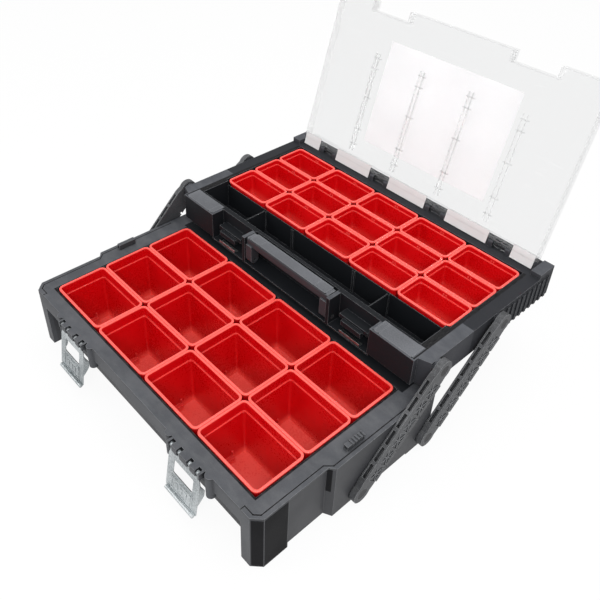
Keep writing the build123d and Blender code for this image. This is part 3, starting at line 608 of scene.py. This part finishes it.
@dataclass
class Palette:
    """Every finish of the box, made once."""

    box: bpy.types.Material = field(init=False)
    tray: bpy.types.Material = field(init=False)
    arm: bpy.types.Material = field(init=False)
    handle: bpy.types.Material = field(init=False)
    shadow: bpy.types.Material = field(init=False)
    rib: bpy.types.Material = field(init=False)
    lower_cup: bpy.types.Material = field(init=False)
    tray_cup: bpy.types.Material = field(init=False)
    clear: bpy.types.Material = field(init=False)
    frosted: bpy.types.Material = field(init=False)
    label: bpy.types.Material = field(init=False)
    latch: bpy.types.Material = field(init=False)
    pin: bpy.types.Material = field(init=False)

    def __post_init__(self) -> None:
        """Makes the materials."""
        self.box = MouldedPlastic(
            "box_moulding",
            dark=(0.050, 0.053, 0.060),
            light=(0.074, 0.077, 0.086),
            edge=(0.24, 0.245, 0.255),
            wall=(0.034, 0.035, 0.039),
            painted_shading_zones=(
                # Painted shadow of the tray on the deck behind the cups.
                PaintedShadingZone(half=246.0, front=110.6, back=157.0, top=101.7),
                # Painted light: the front face stays lighter than the side faces, as if lit from the
                # front.
                PaintedShadingZone(half=252.5, front=-170.0, back=-150.0, top=98.3, colour=(0.050, 0.052, 0.058)),
            ),
        ).make()
        self.tray = MouldedPlastic(
            "tray_moulding",
            dark=(0.050, 0.053, 0.061),
            light=(0.078, 0.082, 0.093),
            edge=(0.20, 0.205, 0.215),
            wall=(0.036, 0.037, 0.043),
            roughness=(0.58, 0.74),
            specular=0.2,
            painted_shading_zones=(
                # Painted shade: near black at the rear of the tray, round and under its cups.
                PaintedShadingZone(half=272.0, front=222.0, back=427.0, top=161.0, colour=(0.020, 0.021, 0.025)),
                # Painted shade in the trough and between the tray's cups.
                PaintedShadingZone(half=249.5, front=117.9, back=203.0, top=158.6),
                PaintedShadingZone(half=236.6, front=140.5, back=203.0, top=160.2),
                PaintedShadingZone(half=243.2, front=203.0, back=379.5, top=158.6),
            ),
        ).make()
        self.arm = MouldedPlastic(
            "arm_moulding",
            dark=(0.026, 0.027, 0.029),
            light=(0.096, 0.098, 0.104),
            edge=(0.26, 0.265, 0.27),
            wall=(0.060, 0.062, 0.067),
            grain_depth=0.12,
            grain_scale=600.0,
            edge_wear_and_highlight=6.0,
            scuffs=0.3,
            reach=4.0,
            side_shade_share=0.5,
        ).make()
        self.handle = MouldedPlastic(
            "handle_moulding",
            dark=(0.074, 0.077, 0.086),
            light=(0.124, 0.129, 0.142),
            edge=(0.26, 0.27, 0.285),
            wall=(0.032, 0.033, 0.038),
            grain_depth=0.09,
            grain_scale=700.0,
        ).make()
        # Painted shade: a near-black sheet laid where the box is in shade.
        self.shadow = MouldedPlastic(
            "painted_shadow_sheet",
            dark=(0.004, 0.004, 0.005),
            light=(0.008, 0.008, 0.009),
            edge=(0.05, 0.05, 0.054),
            wall=(0.005, 0.005, 0.006),
            specular=0.06,
        ).make()
        # Painted light: a lighter copy of the arm's plastic, for light caught on the raised ribs.
        self.rib = MouldedPlastic(
            "arm_rib_lit_moulding",
            dark=(0.090, 0.092, 0.097),
            light=(0.170, 0.174, 0.182),
            edge=(0.30, 0.305, 0.315),
            wall=(0.110, 0.113, 0.12),
        ).make()
        self.lower_cup = CupPlastic("deep_cup_red", rim_z=104.0, floor_z=6.3).make()
        self.tray_cup = CupPlastic("tray_cup_red", rim_z=158.6, floor_z=111.3, floor_highlight_share=0.3).make()
        self.clear = ClearPlastic("clear_lid").make()
        self.frosted = ClearPlastic(
            "frosted_hinge_edge", tint=(0.88, 0.89, 0.89), alpha=0.85, clearness=0.3
        ).make()
        self.label = LabelPaper("blank_label").make()
        self.latch = PlatedSteel("plated_latch_sheet").make()
        self.pin = MouldedPlastic(
            "blackened_pin",
            dark=(0.016, 0.016, 0.018),
            light=(0.034, 0.035, 0.038),
            edge=(0.16, 0.16, 0.165),
            wall=(0.020, 0.020, 0.022),
        ).make()


# Meshes


class Shaper:
    """Gathers bevelled blocks, prisms and bands into one mesh, in millimetres."""

    def __init__(self) -> None:
        """Starts an empty mesh."""
        self.mesh = bmesh.new()

    def prism(self, outline: Sequence[Span], low: float, high: float) -> None:
        """Adds an outline in the X, Y plane, pushed along Z.

        Args:
            outline: its corners.
            low: where it starts in Z.
            high: where it ends.
        """
        bottom = [self.mesh.verts.new((x, y, low)) for x, y in outline]
        top = [self.mesh.verts.new((x, y, high)) for x, y in outline]
        count = len(outline)
        self.mesh.faces.new(bottom)
        self.mesh.faces.new(top[::-1])
        for i in range(count):
            j = (i + 1) % count
            self.mesh.faces.new((bottom[j], bottom[i], top[i], top[j]))

    def block(self, x: Span, y: Span, z: Span) -> None:
        """Adds a block over three ranges."""
        self.prism([(x[0], y[0]), (x[1], y[0]), (x[1], y[1]), (x[0], y[1])], *z)

    def strip(self, path: Sequence[Span], width: float, z: Span) -> None:
        """Adds a flat band along a path in the X, Y plane.

        Args:
            path: the points of its middle line.
            width: how wide it is.
            z: its (low, high) range.
        """
        for start, end in zip(path, path[1:]):
            a, b = Vector(start), Vector(end)
            along = (b - a).normalized() * width / 2
            across = Vector((-along.y, along.x))
            corners = (a - along - across, b + along - across, b + along + across, a - along + across)
            self.prism([tuple(corner) for corner in corners], *z)

    def place(self, matrix: Matrix) -> None:
        """Moves all that was added so far."""
        bmesh.ops.transform(self.mesh, matrix=matrix, verts=self.mesh.verts)

    def finish(
        self, name: str, body: str, material: bpy.types.Material, bevel: float, segments: int = 2
    ) -> None:
        """Makes the piece and puts it on its body.

        Args:
            name: the piece's name.
            body: the CAD body that it rides on.
            material: its finish.
            bevel: radius of its rounded edges, in millimetres.
            segments: faces across a rounded edge.
        """
        bmesh.ops.recalc_face_normals(self.mesh, faces=self.mesh.faces)
        self.place(Matrix.Scale(MM, 4))
        data = bpy.data.meshes.new(name)
        self.mesh.to_mesh(data)
        self.mesh.free()
        piece = bpy.data.objects.new(name, data)
        bpy.context.scene.collection.objects.link(piece)
        rounding = piece.modifiers.new("rounded_edges", "BEVEL")
        rounding.width = bevel * MM
        rounding.segments = segments
        rounding.limit_method = "ANGLE"
        rounding.angle_limit = BEVEL_ANGLE
        data.shade_smooth()
        data.set_sharp_from_angle(angle=SMOOTH_ANGLE)
        data.materials.append(material)
        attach(piece, body)
        LOG.info("piece %s on %s", name, body)


def dress(node: str, material: bpy.types.Material) -> None:
    """Gives a CAD node its finish.

    Args:
        node: the node's name.
        material: its finish.
    """
    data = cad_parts[node].data
    data.materials.clear()
    data.materials.append(material)
    LOG.info("node %s dressed in %s", node, material.name)


# Sub-assemblies


@dataclass
class LowerBox:
    """The lower moulding, its cups and its fixed pins."""

    rows: int = 3
    columns: int = 4
    half_width: float = 264.0
    front_y: float = -157.0
    corner_cut: float = 12.0
    post_back_y: float = -107.0
    panel_z: Span = (2.5, 97.0)
    panel_thickness: float = 0.4
    panel_sink: float = 0.3
    panel_gaps: Span = (1.0, 1.5)
    slope_gaps: Span = (1.2, 0.4)
    bay_half_width: float = 237.0
    bay_y: Span = (-135.0, 110.6)
    border: float = 2.4
    border_gap: float = 0.1
    border_z: Span = (101.1, 101.65)
    seam_z: Span = (100.6, 101.62)
    seam_path: tuple[Span, ...] = (
        (236.75, -156.0),
        (236.75, -150.75),
        (251.25, -150.75),
        (257.75, -144.25),
        (257.75, -47.0),
        (266.0, -37.5),
        (266.0, 96.0),
    )
    seam_width: float = 1.6
    slot_face: tuple[Span, ...] = ((261.6, -43.7), (267.8, -40.3), (268.0, -40.66), (261.8, -44.06))
    slot_z: Span = (53.0, 97.8)

    def build(self, palette: Palette) -> None:
        """Dresses the moulding, its cups and pins, and adds sheets of painted shade on its posts, in its
        seams and round the bay.
        """
        dress("lower_box", palette.box)
        for row in range(1, self.rows + 1):
            for column in range(1, self.columns + 1):
                dress(f"lower_cup_{row}_{column}", palette.lower_cup)
        for name in ("lower_pivot_pins", "latch_pin_left", "latch_pin_right"):
            dress(name, palette.pin)
        for side in Side:
            self.make_post_shade_sheet(side, palette)
            self.make_seam(side, palette)
        self.make_bay_shade(palette)

    def make_seam(self, side: Side, palette: Palette) -> None:
        """Lays painted shade in the seam along the edge of the deck, and in the slot beside the arms' part
        of the side.
        """
        shape = Shaper()
        path = [(side.value * x, y) for x, y in self.seam_path]
        shape.strip(path, self.seam_width, self.seam_z)
        shape.prism([(side.value * x, y) for x, y in self.slot_face], *self.slot_z)
        shape.finish(f"deck_seam_{side.word}", "lower_box", palette.shadow, bevel=0.05, segments=1)

    def make_bay_shade(self, palette: Palette) -> None:
        """Lays a thin border of painted shade on the deck round the bay of the cups."""
        shape = Shaper()
        half, wide = self.bay_half_width + self.border_gap, self.border
        near, far = self.bay_y[0] - self.border_gap, self.bay_y[1] + self.border_gap
        for side in Side:
            shape.block(side.span(half, half + wide), (near - wide, far + wide), self.border_z)
        shape.block((-half, half), (near - wide, near), self.border_z)
        shape.block((-half, half), (far, far + wide), self.border_z)
        shape.finish("bay_gap_shade", "lower_box", palette.shadow, bevel=0.08, segments=1)

    def make_post_shade_sheet(self, side: Side, palette: Palette) -> None:
        """Lines a front post's side and its cut corner with a smooth sheet of painted shade."""
        shape = Shaper()
        out = self.panel_thickness
        near_gap, far_gap = self.panel_gaps
        near, far = self.front_y + self.corner_cut + near_gap, self.post_back_y - far_gap
        x = side.span(self.half_width - self.panel_sink, self.half_width + out)
        shape.block(x, (near, far), self.panel_z)
        start_gap, end_gap = self.slope_gaps
        start = (self.half_width - self.corner_cut + start_gap, self.front_y + start_gap)
        end = (self.half_width - end_gap, self.front_y + self.corner_cut - end_gap)
        slope = [start, end, (end[0] + out, end[1] - out), (start[0] + out, start[1] - out)]
        shape.prism([(side.value * x, y) for x, y in slope], *self.panel_z)
        shape.finish(f"post_panel_{side.word}", "lower_box", palette.shadow, bevel=0.12, segments=1)


@dataclass
class Tray:
    """The upper moulding with its cups, dividers, strikes and pins."""

    rows: int = 3
    columns: int = 5
    top_z: float = 160.0
    sink: float = 0.5
    cap_x: Span = (176.5, 245.0)
    cap_y: Span = (120.0, 146.0)
    cap_rise: float = 0.35
    cap_recess: float = 0.1
    cap_lip: float = 2.0
    cap_front_lip: float = 1.6
    cap_rib: Span = (9.0, 10.5)
    cap_gap: float = 1.0
    seam_rise: float = 0.12
    seam_x: Span = (246.2, 248.4)
    seam_y: Span = (120.0, 203.0)
    trough_x: float = 237.0
    bay_x: float = 242.4
    partition_y: float = 202.8
    bay_back_y: float = 379.0

    def build(self, palette: Palette) -> None:
        """Dresses the tray and what stands in it, and adds the caps of its front corners and painted shade
        in the seams beside them.
        """
        dress("tray", palette.tray)
        for row in range(1, self.rows + 1):
            for column in range(1, self.columns + 1):
                dress(f"tray_cup_{row}_{column}", palette.tray_cup)
        for side in Side:
            dress(f"trough_divider_{side.word}", palette.tray)
            dress(f"strike_{side.word}", palette.latch)
            self.make_corner(side, palette)
        for name in ("upper_pivot_pins", "handle_pins", "lid_hinge_pins"):
            dress(name, palette.pin)

    def make_corner(self, side: Side, palette: Palette) -> None:
        """Adds one front corner's raised cap, with a lip along its edges, and a strip of painted shade in
        the seam beside it.
        """
        cap = Shaper()
        (inner, outer), y = self.cap_x, self.cap_y
        low, top = self.top_z - self.sink, self.top_z + self.cap_rise
        cap.block(side.span(inner, outer), y, (low, top - self.cap_recess))
        ribs = (
            (inner, inner + self.cap_lip),
            (outer - self.cap_lip, outer),
            (inner + self.cap_rib[0], inner + self.cap_rib[1]),
        )
        for rib in ribs:
            cap.block(side.span(*rib), y, (low, top))
        cap.block(side.span(inner, outer), (y[0], y[0] + self.cap_front_lip), (low, top))
        cap.finish(f"corner_cap_{side.word}", "tray", palette.handle, bevel=0.1)
        seam = Shaper()
        z = (low, self.top_z + self.seam_rise)
        seam.block(side.span(*self.seam_x), self.seam_y, z)
        seam.block(side.span(self.trough_x, self.seam_x[0]), (y[1] + self.cap_gap, self.partition_y), z)
        seam.block(side.span(self.bay_x, self.seam_x[1]), (self.partition_y, self.bay_back_y), z)
        seam.finish(f"corner_seam_{side.word}", "tray", palette.shadow, bevel=0.05, segments=1)


@dataclass
class Arms:
    """The four parallel arms, with crossed ribs in the panels of their outer faces.

    The ribs are laid out along a level arm and then turned to the arm's slope.
    """

    length: float = 189.91
    rise: float = 131.0
    reach: float = 137.5
    inner_x: float = 272.5
    thickness: float = 9.0
    hub_radius: float = 15.0
    panels: int = 6
    panel_height: float = 17.0
    panel_middle: float = -3.0
    end_gap: float = 3.0
    rib_gaps: Span = (2.2, 0.6)
    rib_sink: Span = (1.4, 0.15)
    cross_width: float = 1.5
    bar_width: float = 1.2
    pivot_z: float = 18.0
    pivots: tuple[tuple[str, float], ...] = (("front", 6.0), ("rear", 139.0))

    def build(self, palette: Palette) -> None:
        """Dresses the arms and adds their ribs."""
        for side in Side:
            for place, pivot_y in self.pivots:
                name = f"arm_{place}_{side.word}"
                dress(name, palette.arm)
                self.make_ribs(name, side, pivot_y, palette)

    def make_ribs(self, name: str, side: Side, pivot_y: float, palette: Palette) -> None:
        """Fills an arm's panels with crossed ribs.

        Args:
            name: the arm's name.
            side: the side that it is on.
            pivot_y: where its lower pivot is.
            palette: the finishes.
        """
        shape = Shaper()
        margin = self.hub_radius + self.end_gap
        pitch = (self.length - 2 * margin) / self.panels
        depth = tuple(self.thickness - sink for sink in self.rib_sink)
        half_u, half_v = pitch / 2 - self.rib_gaps[0], self.panel_height / 2 - self.rib_gaps[1]
        middle = self.panel_middle
        for step in range(self.panels):
            u = margin + (step + 0.5) * pitch
            for lean in (-half_v, half_v):
                ends = ((u - half_u, middle - lean), (u + half_u, middle + lean))
                self.add_rib(shape, ends, self.cross_width, depth)
            self.add_rib(shape, ((u, middle - half_v), (u, middle + half_v)), self.bar_width, depth)
        turn = Matrix.Rotation(math.atan2(self.rise, self.reach), 4, "X")
        flip = Matrix(((0, 0, side.value, 0), (1, 0, 0, 0), (0, 1, 0, 0), (0, 0, 0, 1)))
        origin = Vector((side.value * self.inner_x, pivot_y, self.pivot_z))
        shape.place(Matrix.Translation(origin) @ turn @ flip)
        shape.finish(f"{name}_ribs", name, palette.rib, bevel=0.2, segments=1)

    def add_rib(self, shape: Shaper, ends: tuple[Span, Span], width: float, depth: Span) -> None:
        """Adds one straight rib between two points of an arm's face."""
        start, end = Vector(ends[0]), Vector(ends[1])
        across = Vector((start.y - end.y, end.x - start.x)).normalized() * width / 2
        outline = [tuple(p) for p in (start - across, end - across, end + across, start + across)]
        shape.prism(outline, *depth)


@dataclass
class Latches:
    """The two sheet metal latches, with a plain stamped frame on their lower panels."""

    centre_x: float = 138.0
    axis_y: float = -162.0
    axis_z: float = 96.0
    tilt: float = 10.0
    panel: Span = (48.0, 68.0)
    half_width: float = 20.0
    face: Span = (1.2, 2.1)
    bar: float = 1.5
    short_bars: tuple[float, ...] = (-9.0, 0.0, 9.0)
    short_bar_half: float = 2.6
    short_bar_gap: float = 5.5

    def build(self, palette: Palette) -> None:
        """Dresses the latches and adds their frames."""
        for side in Side:
            dress(f"latch_{side.word}", palette.latch)
            self.make_frame(side, palette)

    def make_frame(self, side: Side, palette: Palette) -> None:
        """Adds a raised frame with three short bars inside it, drawn across the hanging latch."""
        shape = Shaper()
        (low, high), half, bar = self.panel, self.half_width, self.bar
        for v in ((low, low + bar), (high - bar, high)):
            shape.block((-half, half), v, self.face)
        for u in ((-half, bar - half), (half - bar, half)):
            shape.block(u, (low, high), self.face)
        across = (low + self.short_bar_gap, high - self.short_bar_gap)
        for middle in self.short_bars:
            shape.block((middle - self.short_bar_half, middle + self.short_bar_half), across, self.face)
        down = math.radians(self.tilt)
        axes = Matrix((
            (1, 0, 0, side.value * self.centre_x),
            (0, -math.sin(down), -math.cos(down), self.axis_y),
            (0, -math.cos(down), math.sin(down), self.axis_z),
            (0, 0, 0, 1),
        ))
        shape.place(axes)
        shape.finish(f"latch_frame_{side.word}", f"latch_{side.word}", palette.latch, bevel=0.35)


@dataclass
class Handle:
    """The folding carry handle, with a flat raised cap along its grip."""

    half_width: float = 84.0
    cap_y: Span = (122.3, 140.7)
    cap_z: Span = (159.2, 160.35)
    recess: float = 0.12
    lip: float = 1.4
    ribs: Span = (22.8, 24.0)

    def build(self, palette: Palette) -> None:
        """Dresses the handle and adds its cap."""
        dress("carry_handle", palette.handle)
        cap = Shaper()
        half, (near, far) = self.half_width, self.cap_y
        cap.block((-half, half), self.cap_y, (self.cap_z[0], self.cap_z[1] - self.recess))
        for y in ((near, near + self.lip), (far - self.lip, far)):
            cap.block((-half, half), y, self.cap_z)
        for side in Side:
            cap.block(side.span(half - self.lip, half), self.cap_y, self.cap_z)
            cap.block(side.span(half - self.ribs[1], half - self.ribs[0]), self.cap_y, self.cap_z)
        cap.finish("grip_cap", "carry_handle", palette.handle, bevel=0.12)


@dataclass
class Lid:
    """The clear lid and its blank label, with bridges across its rib pairs and a frosted hinge edge.

    The places in Y and Z are those of the closed lid, measured from its hinge's axis.
    """

    axis_y: float = 399.0
    axis_z: float = 166.5
    open_angle: float = 106.1
    rib_x: tuple[float, ...] = (-144.6, -48.2, 48.2, 144.6)
    bridges: tuple[float, ...] = (-190.0, -172.0, -120.0, -62.0, -34.0)
    bridge_half: Span = (7.5, 0.7)
    bridge_z: Span = (5.2, 9.8)
    edge_spans: tuple[Span, ...] = (
        (-246.0, -208.0),
        (-164.0, -84.0),
        (-40.0, 40.0),
        (84.0, 164.0),
        (208.0, 246.0),
    )
    edge_y: Span = (-17.0, 5.5)
    edge_z: Span = (-5.9, -4.7)
    edge_lip: Span = (1.2, 1.5)

    def build(self, palette: Palette) -> None:
        """Dresses the lid and adds the bridges and the frosted edge."""
        dress("lid", palette.clear)
        dress("lid_label", palette.label)
        lean = Matrix.Rotation(math.radians(-self.open_angle), 4, "X")
        place = Matrix.Translation((0, self.axis_y, self.axis_z)) @ lean
        bridges = Shaper()
        half_x, half_y = self.bridge_half
        for x in self.rib_x:
            for y in self.bridges:
                bridges.block((x - half_x, x + half_x), (y - half_y, y + half_y), self.bridge_z)
        bridges.place(place)
        bridges.finish("lid_rib_bridges", "lid", palette.clear, bevel=0.25)
        edge = Shaper()
        (near, _), (low, high) = self.edge_y, self.edge_z
        for span in self.edge_spans:
            edge.block(span, self.edge_y, self.edge_z)
            edge.block(span, (near, near + self.edge_lip[0]), (low, high + self.edge_lip[1]))
        edge.place(place)
        edge.finish("lid_hinge_edge", "lid", palette.frosted, bevel=0.25)


# Studio


@dataclass(frozen=True)
class Viewpoint:
    """The camera that took the photograph, worked out from the cups' grid."""

    place: Point = (595.5, -434.3, 827.3)
    azimuth: float = 46.86
    elevation: float = 36.8
    roll: float = 1.76
    focal: float = 42.51
    shift: Span = (0.0215, -0.110)
    sensor: float = 36.0
    clip: Span = (0.02, 20.0)

    def build(self) -> None:
        """Makes the camera."""
        az, el, roll = (math.radians(a) for a in (self.azimuth, self.elevation, self.roll))
        back = Vector((math.sin(az) * math.cos(el), -math.cos(az) * math.cos(el), math.sin(el)))
        right = (-back).cross(Vector((0, 0, 1))).normalized()
        up = right.cross(-back)
        turned_right = math.cos(roll) * right + math.sin(roll) * up
        turned_up = -math.sin(roll) * right + math.cos(roll) * up
        data = bpy.data.cameras.new("camera")
        data.sensor_width = self.sensor
        data.lens = self.focal
        data.shift_x, data.shift_y = self.shift
        data.clip_start, data.clip_end = self.clip
        camera = bpy.data.objects.new("camera", data)
        turn = Matrix((turned_right, turned_up, back)).transposed().to_4x4()
        camera.matrix_world = Matrix.Translation(Vector(self.place) * MM) @ turn
        bpy.context.scene.collection.objects.link(camera)
        bpy.context.scene.camera = camera


@dataclass(frozen=True)
class Lamp:
    """One soft square lamp."""

    name: str
    place: Point
    size: float
    power: float
    aim: Point = (0.0, 0.1, 0.1)
    colour: Colour = (1.0, 1.0, 1.0)

    def build(self) -> None:
        """Makes the lamp and turns it to what it lights."""
        data = bpy.data.lights.new(self.name, "AREA")
        data.shape = "SQUARE"
        data.size = self.size
        data.energy = self.power
        data.color = self.colour
        lamp = bpy.data.objects.new(self.name, data)
        lamp.location = Vector(self.place)
        lamp.rotation_mode = "QUATERNION"
        lamp.rotation_quaternion = (Vector(self.aim) - Vector(self.place)).to_track_quat("-Z", "Y")
        bpy.context.scene.collection.objects.link(lamp)


@dataclass
class Studio:
    """A pale floor, a pale surround and soft lamps."""

    floor_half: float = 6.0
    floor_drop: float = 0.0004
    floor_tone: Colour = (0.80, 0.80, 0.80)
    floor_glow_share: float = 0.92
    sky: float = 0.66
    lamps: tuple[Lamp, ...] = (
        Lamp("key", (1.7, -1.5, 2.3), size=1.5, power=56.0),
        Lamp("top", (0.2, 0.6, 2.6), size=2.2, power=30.0),
        Lamp("fill", (-1.6, -2.2, 1.6), size=1.5, power=20.0),
    )

    def build(self) -> None:
        """Makes the surround, the floor and the lamps."""
        self.make_surround()
        self.make_floor()
        for lamp in self.lamps:
            lamp.build()
        bpy.context.scene.view_settings.view_transform = "Standard"

    def seen_directly(self, graph: Graph) -> bpy.types.NodeSocket:
        """A share that is 1 for what the camera sees, also in a gloss or through a clear part."""
        path = graph.add("ShaderNodeLightPath")
        seen = graph.math("MAXIMUM", path.outputs["Is Camera Ray"], path.outputs["Is Glossy Ray"])
        return graph.math("MAXIMUM", seen, path.outputs["Is Transmission Ray"])

    def make_surround(self) -> None:
        """Makes a world that lights from all round and shows white behind the object."""
        world = bpy.data.worlds.new("surround")
        world.use_nodes = True
        world.node_tree.nodes.clear()
        graph = Graph(world.node_tree)
        choice = graph.add("ShaderNodeMixShader")
        path = graph.add("ShaderNodeLightPath")
        graph.link(path.outputs["Is Camera Ray"], choice.inputs[0])
        for place, strength in ((1, self.sky), (2, 1.0)):
            white = graph.add("ShaderNodeBackground")
            white.inputs["Color"].default_value = (1.0, 1.0, 1.0, 1.0)
            white.inputs["Strength"].default_value = strength
            graph.link(white.outputs[0], choice.inputs[place])
        output = graph.add("ShaderNodeOutputWorld")
        graph.link(choice.outputs[0], output.inputs["Surface"])
        bpy.context.scene.world = world

    def make_floor(self) -> None:
        """Makes a wide pale floor that keeps the object's soft shadow."""
        half = self.floor_half
        data = bpy.data.meshes.new("floor")
        corners = [(-half, -half, 0.0), (half, -half, 0.0), (half, half, 0.0), (-half, half, 0.0)]
        data.from_pydata(corners, [], [(0, 1, 2, 3)])
        floor = bpy.data.objects.new("floor", data)
        floor.location.z = -self.floor_drop
        material = bpy.data.materials.new("pale_floor")
        material.use_nodes = True
        material.node_tree.nodes.clear()
        graph = Graph(material.node_tree)
        matt = graph.add("ShaderNodeBsdfDiffuse")
        graph.feed(matt.inputs["Color"], self.floor_tone)
        glow = graph.add("ShaderNodeEmission")
        glow.inputs["Strength"].default_value = 1.0
        share = graph.math("MULTIPLY", self.seen_directly(graph), self.floor_glow_share)
        choice = graph.add("ShaderNodeMixShader")
        graph.link(share, choice.inputs[0])
        graph.link(matt.outputs[0], choice.inputs[1])
        graph.link(glow.outputs[0], choice.inputs[2])
        output = graph.add("ShaderNodeOutputMaterial")
        graph.link(choice.outputs[0], output.inputs["Surface"])
        data.materials.append(material)
        bpy.context.scene.collection.objects.link(floor)


def main() -> None:
    """Builds the studio and every sub-assembly in order."""
    Viewpoint().build()
    Studio().build()
    make_effects()
    palette = Palette()
    for assembly in (LowerBox(), Tray(), Arms(), Latches(), Handle(), Lid()):
        assembly.build(palette)
        LOG.info("built %s", type(assembly).__name__)


if __name__ == "__main__":
    main()
